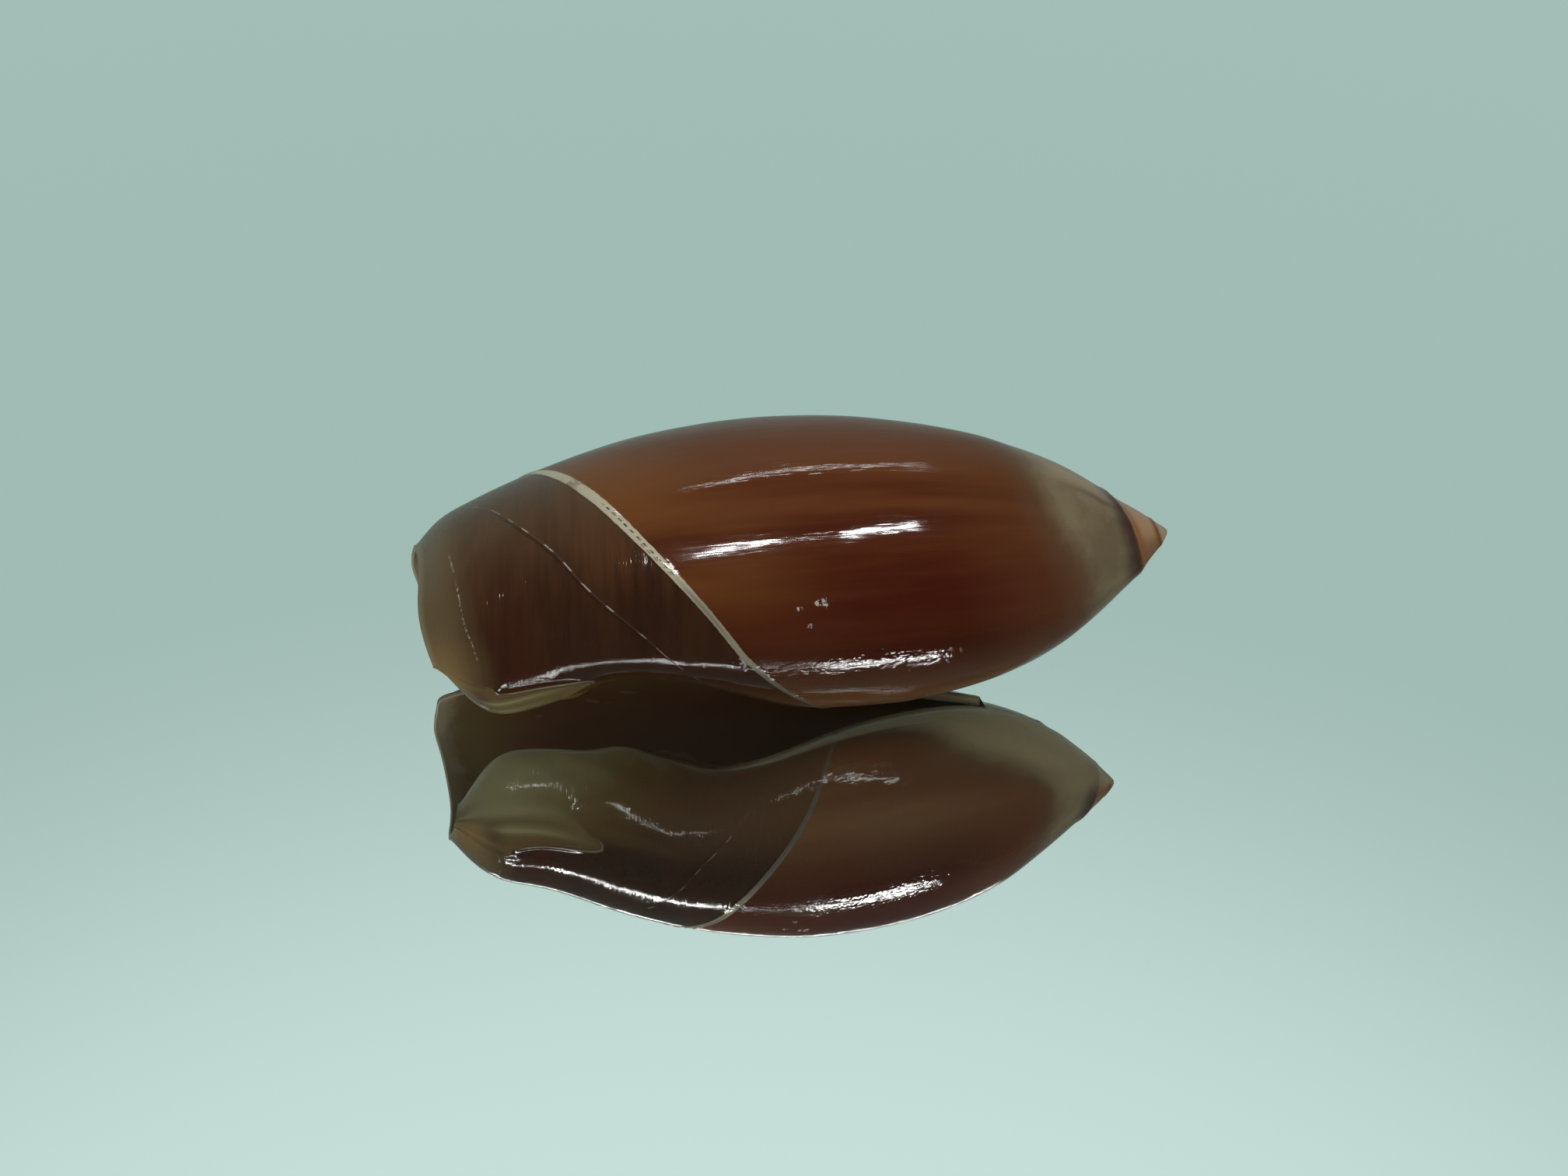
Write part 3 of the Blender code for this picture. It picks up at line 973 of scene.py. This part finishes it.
        # The top is lighter and the lower side darker: partly the shell's own tone, partly painted light and
        # painted shade.
        upper = kit.ramp(turn, 146.0, 98.0, -0.12, 0.55)
        share = kit.total(upper, kit.product(broad, 0.45), kit.product(fine, 0.16))
        paint = Paint(kit, self.deep)
        paint.lay(self.chestnut, kit.ramp(share, 0.15, 0.95))
        paint.lay(self.dusk_and_shade, kit.ramp(turn, 158.0, 190.0, 0.0, 0.55))
        wide = kit.ramp(kit.noise(kit.around(0.06, 1.6, 9.0), rough=0.55), 0.40, 0.64, 0.15, 1.0)
        paint.lay(self.amber, kit.ramp(groove, 6.0, 0.1), wide, kit.ramp(turn, 175.0, 128.0, 0.12, 0.95))
        # Lower body lighter brown with amber: partly its own tone, partly a painted sheen and painted light
        # from below.
        paint.lay(kit.blend(kit.product(fine, 0.6), self.umber_sheen_and_light, self.amber),
                  kit.ramp(turn, 180.0, 232.0, 0.0, 0.9), kit.ramp(broad, 0.0, 1.0, 0.7, 1.0))
        paint.lay(self.milky, kit.ramp(callus, -6.5, -1.0, 0.0, 0.6))
        return paint.colour

    def front_colour(self, kit: NodeKit, across: Node) -> Socket:
        """Olive over plum-brown in front of the pale line, with a tan rim behind the front edge.

        Args:
            kit: the material's node kit.
            across: streaks round the shell.

        Returns:
            The colour.
        """
        turn, ridge, edge = kit.read("turn"), kit.read("ridge"), kit.read("edge")
        broad, fine = across.outputs["Broad"], across.outputs["Fine"]
        streaks = kit.total(kit.product(broad, 0.6), kit.product(fine, 0.4))
        calm = kit.ramp(turn, 165.0, 200.0, 1.0, 0.25)
        tone = kit.scaled(kit.math("SUBTRACT", streaks, 0.5), calm, 0.5)
        paint = Paint(kit, self.plum_dark)
        paint.lay(self.plum, tone)
        paint.lay(self.plum_dark, kit.ramp(turn, 128.0, 168.0, 0.0, 0.55))
        paint.lay(self.olive, kit.ramp(turn, 150.0, 98.0), kit.ramp(tone, 0.0, 1.0, 0.78, 1.0))
        # Underside lighter brown: partly its own tone, partly painted light from below.
        paint.lay(self.umber_sheen_and_light, kit.ramp(turn, 198.0, 236.0, 0.0, 0.45))
        paint.lay(self.chestnut, kit.stripe(kit.read("groove"), -1.1, 0.7, 1.3),
                  kit.stripe(turn, 128.0, 14.0, 16.0), kit.ramp(fine, 0.0, 1.0, 0.2, 0.6))
        paint.lay(self.russet, kit.stripe(ridge, 1.9, 0.8, 1.2), kit.ramp(turn, 105.0, 135.0), 0.7)
        rim = Paint(kit, self.rim)
        rim.lay(self.rim_low, kit.ramp(turn, 140.0, 195.0))
        rim.lay(self.rim_shade, kit.ramp(edge, 0.5, 2.2), kit.ramp(turn, 90.0, 140.0, 0.2, 0.85))
        wobble = kit.scaled(kit.noise(kit.around(0.5, 3.0, 2.0)), 0.7, -0.35)
        paint.lay(rim.colour, kit.ramp(kit.total(ridge, wobble), 1.0, -0.7))
        paint.lay(self.rim_edge, kit.ramp(edge, 0.30, 0.03, 0.0, 0.40))
        return paint.colour

    def mark_lines(self, paint: Paint, dust: Socket, grit: Socket) -> None:
        """Add the pale line with its dark dashes, the silvery crease, the ridge's painted glints and the
        chips.

        Args:
            paint: the finish so far.
            dust: a mask of coarse specks.
            grit: a mask of fine specks.
        """
        kit = paint.kit
        share, crease = kit.read("groove_share"), kit.read("crease")
        turn, ridge = kit.read("turn"), kit.read("ridge")
        band = Paint(kit, self.band)
        band.lay(self.band_mid, kit.ramp(turn, 138.0, 160.0))
        band.lay(self.band_low, kit.ramp(turn, 172.0, 205.0))
        band.lay(self.callus_edge, kit.stripe(turn, 90.0, 4.0, 6.0), dust, 0.6)
        # Darker centre of the pale line round its middle: painted shade of its groove.
        band.lay(self.band_low, kit.stripe(share, 0.0, 0.35, 0.3), kit.stripe(turn, 160.0, 12.0, 8.0), 0.55)
        ragged = kit.scaled(kit.noise(kit.inside(3.0)), 0.4, -0.2)
        paint.lay(band.colour, kit.ramp(kit.total(kit.math("ABSOLUTE", share), ragged), 1.14, 0.88),
                  kit.ramp(turn, 200.0, 262.0, 0.97, 0.6))
        uneven = kit.product(kit.noise(kit.around(0.9, 0.9, 5.0), 1.0, 2.0), 9.0)
        beat = kit.ramp(kit.math("SINE", kit.scaled(turn, 2.0, uneven)), -0.6, 0.2)
        paint.lay(self.band_core, kit.stripe(share, 0.12, 0.19, 0.12), kit.ramp(turn, 106.0, 111.0),
                  kit.ramp(turn, 147.0, 142.0), beat, kit.ramp(grit, 0.0, 1.0, 0.6, 1.0))
        paint.lay(self.band_core, kit.stripe(share, -0.45, 0.16, 0.12), kit.ramp(turn, 126.0, 130.0),
                  kit.ramp(turn, 146.0, 142.0), beat, dust, 0.6)
        runs = kit.math("SINE", kit.scaled(turn, 0.55, kit.product(uneven, 0.8)))
        broken = kit.product(kit.ramp(runs, -0.1, 0.5), kit.ramp(dust, 0.0, 1.0, 0.6, 1.0),
                             kit.ramp(grit, 0.0, 1.0, 0.6, 1.0))
        paint.lay(self.plum_dark, kit.stripe(crease, -0.1, 0.05, 0.06), kit.ramp(turn, 70.0, 112.0),
                  kit.ramp(turn, 240.0, 190.0), 0.6)
        strength = kit.product(kit.ramp(turn, 92.0, 116.0, 0.3, 0.95), kit.ramp(turn, 150.0, 186.0, 1.0, 0.4))
        paint.lay(self.silver, kit.stripe(crease, 0.0, 0.022, 0.028), kit.ramp(broken, 0.1, 0.8, 0.06, 1.0),
                  strength, kit.ramp(turn, 66.0, 78.0), kit.ramp(turn, 250.0, 222.0))
        # Painted highlight: broken silver glints along the ridge behind the front rim.
        paint.lay(self.silver, kit.stripe(ridge, 0.0, 0.03, 0.04), grit, dust, kit.ramp(turn, 98.0, 112.0),
                  kit.ramp(turn, 172.0, 160.0), 0.75)
        chip = kit.total(kit.read("chips"), kit.product(grit, 0.07))
        paint.lay(self.silver, kit.ramp(chip, 0.17, 0.11, 0.0, 0.9))

    def mark_spire(self, paint: Paint, dust: Socket) -> None:
        """Add the olive-grey callus over the spire, the dark suture and the pale tip.

        Args:
            paint: the finish so far.
            dust: a mask of coarse specks.
        """
        kit = paint.kit
        callus, suture = kit.read("callus"), kit.read("suture")
        whorl, turn = kit.read("whorl"), kit.read("turn")
        cloud = kit.noise(kit.inside(0.35), 1.0, 4.0, 0.6)
        drifted = kit.total(callus, kit.scaled(cloud, 1.2, -0.6))
        below = kit.math("MAXIMUM", kit.ramp(turn, 185.0, 235.0), kit.ramp(turn, -15.0, -65.0))
        seen = kit.rest(kit.product(below, 0.85))
        paint.lay(self.callus_edge, kit.ramp(drifted, -2.0, 0.1, 0.0, 0.7))
        glaze = Paint(kit, self.callus)
        glaze.lay(self.callus_pale, kit.ramp(cloud, 0.38, 0.62))
        glaze.lay(self.callus_warm, kit.stripe(turn, 86.0, 14.0, 16.0), kit.ramp(callus, -0.2, 2.0), 0.9)
        glaze.lay(self.callus_low, below, 0.9)
        paint.lay(glaze.colour, kit.ramp(drifted, -0.7, 0.9))
        bent = kit.total(turn, kit.scaled(cloud, 10.0, -5.0))
        for place, half, strength in ((104.0, 2.2, 0.8), (84.0, 1.2, 0.5)):
            stroke = kit.stripe(bent, place, half, 4.5)
            paint.lay(self.streak, stroke, kit.stripe(callus, 2.6, 0.9, 1.3), strength)
        torn = kit.total(suture, kit.scaled(kit.noise(kit.inside(1.5)), 0.5, -0.25))
        paint.lay(self.bluish, kit.stripe(torn, -0.85, 0.12, 0.30), kit.ramp(dust, 0.0, 1.0, 0.4, 0.8),
                  kit.ramp(cloud, 0.40, 0.56, 0.15, 1.0), seen)
        paint.lay(self.suture, kit.ramp(torn, -1.05, -0.1), kit.ramp(suture, 0.12, -0.06), seen, 0.95)
        whorls = Paint(kit, self.whorl)
        # Painted shade: the whorls darker on their lower side.
        whorls.lay(self.whorl_shade, kit.ramp(turn, 112.0, 165.0, 0.0, 0.8))
        whorls.lay(self.tip, below)
        paint.lay(whorls.colour, kit.ramp(suture, -0.02, 0.10))
        paint.lay(self.rust, kit.stripe(suture, 0.20, 0.16, 0.24), seen, 0.9)
        paint.lay(self.tip, kit.ramp(whorl, 0.0, 0.16))
        paint.lay(self.rust, kit.stripe(whorl, -0.06, 0.14, 0.16), seen, 0.9)
        paint.lay(self.streak, kit.stripe(whorl, -0.03, 0.05, 0.09), seen, 0.8)

    def mark_underside(self, paint: Paint, along: Node) -> None:
        """Add the tan lobe at the front, the columella and the dark lining with its pale edge.

        Args:
            paint: the finish so far.
            along: streaks along the shell.
        """
        kit = paint.kit
        lobe, columella, inner = kit.read("lobe"), kit.read("columella"), kit.read("inner")
        turn, edge = kit.read("turn"), kit.read("edge")
        groove, callus = kit.read("groove"), kit.read("callus")
        under = kit.ramp(turn, 204.0, 222.0)
        streaked = kit.scaled(kit.noise(kit.around(0.35, 2.2, 6.0)), 2.0, -1.0)
        moved = kit.total(lobe, kit.product(streaked, under))
        # Olive band on the underside, lightened as painted light from below.
        paint.lay(self.moss, kit.ramp(moved, -3.2, -0.4), under, 0.9)
        paint.lay(self.lobe_edge, kit.ramp(moved, -1.4, 0.1), under, 0.45)
        tan = Paint(kit, self.lobe_edge)
        tan.lay(self.lobe, kit.ramp(lobe, 0.1, 1.4))
        tan.lay(self.lobe_pale, kit.ramp(lobe, 1.2, 4.0))
        tan.lay(kit.blend(kit.ramp(moved, 0.2, 3.2), self.lobe, self.lobe_pale), under)
        sharp = kit.product(kit.ramp(lobe, 0.0, 0.08), kit.ramp(turn, 176.0, 184.0), kit.rest(under),
                            kit.ramp(kit.read("from_front"), 1.2, 2.8))
        soft = kit.product(kit.ramp(moved, -0.6, 1.0), under)
        paint.lay(tan.colour, kit.math("MAXIMUM", sharp, soft))
        # Thin pale line along the lobe's upper edge: a painted sheen on the body's lit lower edge.
        paint.lay(self.rim_edge, kit.stripe(lobe, -0.05, 0.04, 0.05), kit.ramp(turn, 190.0, 194.0),
                  kit.ramp(turn, 212.0, 207.0), 0.6)
        # The columella in parietal brown, lightened as painted light from below, going to the pale callus.
        shade = kit.blend(kit.ramp(callus, -6.0, -0.5), self.parietal, self.callus_low)
        paint.lay(kit.blend(kit.ramp(turn, 272.0, 292.0), shade, self.lining_mid),
                  kit.ramp(groove, -6.0, -3.0), columella, 0.9)
        # Lining inside the hollow, lightened as painted light against its shade, and paler towards the edges,
        # partly as painted light through the thin lip.
        paint.lay(self.lining, kit.ramp(turn, 276.0, 300.0), columella, kit.ramp(lobe, 2.5, -0.5), 0.9)
        near = kit.total(edge, kit.scaled(along.outputs["Broad"], 0.5, -0.25))
        lining = Paint(kit, self.lining)
        lining.lay(self.lining_mid, kit.ramp(near, 5.0, 1.4))
        lining.lay(self.lining_edge, kit.ramp(near, 1.3, 0.1))
        paint.lay(lining.colour, inner)

    def gloss(self, kit: NodeKit, shader: Node, along: Node, across: Node) -> None:
        """Set the roughness and the fine relief that breaks up the highlights.

        Args:
            kit: the material's node kit.
            shader: the material's Principled shader.
            along: streaks along the shell.
            across: streaks round the shell.
        """
        inner = kit.read("inner")
        lower = kit.ramp(kit.read("turn"), 140.0, 160.0, 0.1, 1.2)
        pebbles = kit.product(kit.noise(kit.inside(3.2), 1.0, 2.0), lower)
        beaded = kit.total(kit.product(across.outputs["Height"], 2.0), kit.product(pebbles, 0.4))
        waves = kit.noise(kit.around(0.12, 1.1, 11.0), 3.0, 3.0, 0.6)
        threads = kit.total(along.outputs["Height"], waves, pebbles)
        behind = kit.ramp(kit.read("groove"), -0.2, 0.2)
        height = kit.put("ShaderNodeMix", {0: behind, 2: beaded, 3: threads}, data_type="FLOAT").outputs[0]
        bump = {"Height": kit.product(height, kit.rest(inner)), "Strength": self.bump_strength,
                "Distance": self.bump_mm * MM}
        wear = kit.noise(kit.around(0.16, 1.8, 7.0), 1.0, 4.0, 0.65)
        rough = kit.total(kit.ramp(wear, 0.35, 0.70, self.smoothest, self.dullest), kit.product(inner, 0.14),
                          kit.ramp(kit.read("ridge"), 0.3, -0.6, 0.0, 0.12))
        finish = {"Normal": kit.put("ShaderNodeBump", bump).outputs["Normal"], "Roughness": rough,
                  "Coat Weight": self.coat, "Coat Roughness": self.coat_roughness,
                  "IOR": self.bending, "Specular IOR Level": self.specular}
        for name, value in finish.items():
            kit.feed(value, shader.inputs[name])


@dataclass(frozen=True)
class PolishedFloor:
    """A pale silvered-glass table top: a faint pale surface over a pale mirror."""

    size: float = 6.0
    depth: float = 0.0015
    veil: Colour = (0.50, 0.68, 0.64)
    silver: Colour = (0.80, 0.82, 0.80)
    mirror_roughness: float = 0.012
    least_veil: float = 0.005
    most_veil: float = 1.0
    veiled_below: float = 0.10
    clear_above: float = 0.15

    def plane(self, name: str, height: float) -> bpy.types.Object:
        """Lay a square sheet at a height.

        Args:
            name: the sheet's name.
            height: its height in metres.

        Returns:
            The sheet.
        """
        half = self.size / 2
        mesh = bpy.data.meshes.new(name)
        corners = [(x * half, y * half, height) for x, y in ((-1, -1), (1, -1), (1, 1), (-1, 1))]
        mesh.from_pydata(corners, [], [(0, 1, 2, 3)])
        made = bpy.data.objects.new(name, mesh)
        bpy.context.scene.collection.objects.link(made)
        return made

    def build(self) -> None:
        """Make the two layers of the floor."""
        top = bpy.data.materials.new("floor_surface")
        top.use_nodes = True
        kit = NodeKit(top.node_tree)
        top.node_tree.nodes.remove(top.node_tree.nodes["Principled BSDF"])
        facing = kit.put("ShaderNodeLayerWeight", {"Blend": 0.5}).outputs["Facing"]
        from_camera = kit.put("ShaderNodeLightPath").outputs["Is Camera Ray"]
        face_on = kit.ramp(facing, self.veiled_below, self.clear_above, self.most_veil, 0.0)
        share = kit.math("MAXIMUM", kit.product(face_on, from_camera), self.least_veil)
        clear = kit.put("ShaderNodeBsdfTransparent").outputs[0]
        pale = kit.put("ShaderNodeBsdfDiffuse", {"Color": self.veil}).outputs[0]
        mixed = kit.put("ShaderNodeMixShader", {0: share, 1: clear, 2: pale})
        kit.feed(mixed.outputs[0], top.node_tree.nodes["Material Output"].inputs["Surface"])
        self.plane("floor_top", 0.0).data.materials.append(top)
        silver = bpy.data.materials.new("floor_silvering")
        silver.use_nodes = True
        kit = NodeKit(silver.node_tree)
        shader = silver.node_tree.nodes["Principled BSDF"]
        finish = {"Base Color": self.silver, "Metallic": 1.0, "Roughness": self.mirror_roughness}
        for name, value in finish.items():
            kit.feed(value, shader.inputs[name])
        self.plane("floor_mirror", -self.depth).data.materials.append(silver)


@dataclass(frozen=True)
class Surroundings:
    """The pale tent round the table. Its near side is dark, so the gloss on the shell stays clear."""

    low: Colour = (0.442, 0.608, 0.572)
    high: Colour = (0.715, 0.905, 0.87)
    fill_low: float = 0.76
    fill_high: float = 0.42
    fill_tone: Colour = (1.0, 0.985, 0.965)
    gloss_near: float = 0.12
    gloss_far: float = 0.55

    def build(self) -> None:
        """Make the world: paler towards the top, with its own levels for soft light and for gloss."""
        world = bpy.data.worlds.new("studio_world")
        world.use_nodes = True
        world.cycles.sampling_method = "NONE"
        kit = NodeKit(world.node_tree)
        way = kit.put("ShaderNodeSeparateXYZ", {0: kit.put("ShaderNodeTexCoord").outputs["Generated"]})
        path = kit.put("ShaderNodeLightPath").outputs
        by_floor = kit.product(kit.math("LESS_THAN", path["Glossy Depth"], 1.5),
                               kit.math("GREATER_THAN", path["Transparent Depth"], 0.5))
        seen = kit.math("MAXIMUM", path["Is Camera Ray"], by_floor)
        soft = kit.math("GREATER_THAN", path["Diffuse Depth"], 0.5)
        tent = Paint(kit, self.low)
        tent.lay(self.high, kit.ramp(way.outputs["Z"], 0.60, 0.86))
        tent.lay(self.fill_tone, soft)
        level = kit.ramp(way.outputs["Y"], 0.2, 0.9, self.gloss_near, self.gloss_far)
        fill = kit.ramp(way.outputs["Z"], 0.05, 0.8, self.fill_low, self.fill_high)
        for share, value in ((seen, 1.0), (soft, fill)):
            level = kit.total(kit.product(level, kit.rest(share)), kit.product(share, value))
        back = world.node_tree.nodes["Background"]
        kit.feed(tent.colour, back.inputs["Color"])
        kit.feed(level, back.inputs["Strength"])
        bpy.context.scene.world = world


def stand(name: str, data: bpy.types.ID, axes: Sequence[Vector], spot: Vector) -> bpy.types.Object:
    """Put a lamp or a camera in the scene.

    Args:
        name: the object's name.
        data: the lamp or the camera.
        axes: its own X, Y and Z directions.
        spot: where it stands, in metres.

    Returns:
        The new object.
    """
    made = bpy.data.objects.new(name, data)
    bpy.context.scene.collection.objects.link(made)
    made.matrix_world = Matrix.Translation(spot) @ Matrix(axes).transposed().to_4x4()
    return made


@dataclass(frozen=True)
class StripLamp:
    """A narrow lamp, level along X, that faces the shell. Sizes are in millimetres."""

    name: str
    place: tuple[float, float, float]
    length: float
    width: float
    watts: float

    def build(self) -> None:
        """Make the lamp and hang it."""
        light = bpy.data.lights.new(self.name, "AREA")
        light.shape = "RECTANGLE"
        light.size, light.size_y = self.length * MM, self.width * MM
        light.energy = self.watts
        spot = Vector(self.place) * MM
        away = Vector((0.0, spot.y, spot.z)).normalized()
        across = Vector((1.0, 0.0, 0.0))
        stand(self.name, light, (across, away.cross(across).normalized(), away), spot)


@dataclass(frozen=True)
class Studio:
    """The lamps, one beyond the shell and three end to end on the near side, and the camera."""

    lamps: tuple[StripLamp, ...] = (
        StripLamp("strip_far", (8.0, 92.0, 236.0), 190.0, 4.5, 0.05),
        StripLamp("strip_near_front", (-64.0, -140.0, 196.0), 66.0, 5.0, 0.13),
        StripLamp("strip_near_middle", (0.0, -140.0, 196.0), 62.0, 1.3, 0.0115),
        StripLamp("strip_near_back", (72.0, -140.0, 196.0), 82.0, 13.0, 0.20),
    )
    lens: float = 39.71
    sensor: float = 36.0
    nearest: float = 0.002
    farthest: float = 20.0
    eye_mm: tuple[float, float, float] = (-7.71, -61.44, 54.70)
    yaw_deg: float = 7.0
    pitch_deg: float = 39.0
    roll_deg: float = 2.15
    shift_mm: tuple[float, float, float] = (0.153, -0.178, -0.049)

    def camera(self) -> None:
        """Stand the scene's camera where the shell is best known from."""
        data = bpy.data.cameras.new("camera")
        data.lens, data.sensor_width = self.lens, self.sensor
        data.clip_start, data.clip_end = self.nearest, self.farthest
        yaw, pitch, roll = (math.radians(a) for a in (self.yaw_deg, self.pitch_deg, self.roll_deg))
        ahead = Vector((math.sin(yaw) * math.cos(pitch), math.cos(yaw) * math.cos(pitch), -math.sin(pitch)))
        level = Vector((math.cos(yaw), -math.sin(yaw), 0.0))
        upright = level.cross(ahead)
        right = level * math.cos(roll) + upright * math.sin(roll)
        up = upright * math.cos(roll) - level * math.sin(roll)
        spot = (Vector(self.eye_mm) - Vector(self.shift_mm)) * MM
        bpy.context.scene.camera = stand("camera", data, (right, up, -ahead), spot)

    def build(self) -> None:
        """Hang the lamps and stand the camera."""
        for lamp in self.lamps:
            lamp.build()
        self.camera()


def main() -> None:
    """Build the shell and the studio in order, and report each piece."""
    logging.basicConfig(level=logging.INFO)
    bpy.context.scene.view_settings.view_transform = "Standard"
    shell = ShellBody()
    piece = shell.build()
    Enamel().dress(piece, GrowthGroup().build(), SpeckGroup().build())
    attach(piece, "root")
    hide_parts(shell.cad_node)
    LOG.info("%s: %d points, %d faces", piece.name, len(piece.data.vertices), len(piece.data.polygons))
    PolishedFloor().build()
    LOG.info("floor_top and floor_mirror ready")
    Surroundings().build()
    Studio().build()
    LOG.info("surroundings, lamps and camera ready")


if __name__ == "__main__":
    main()
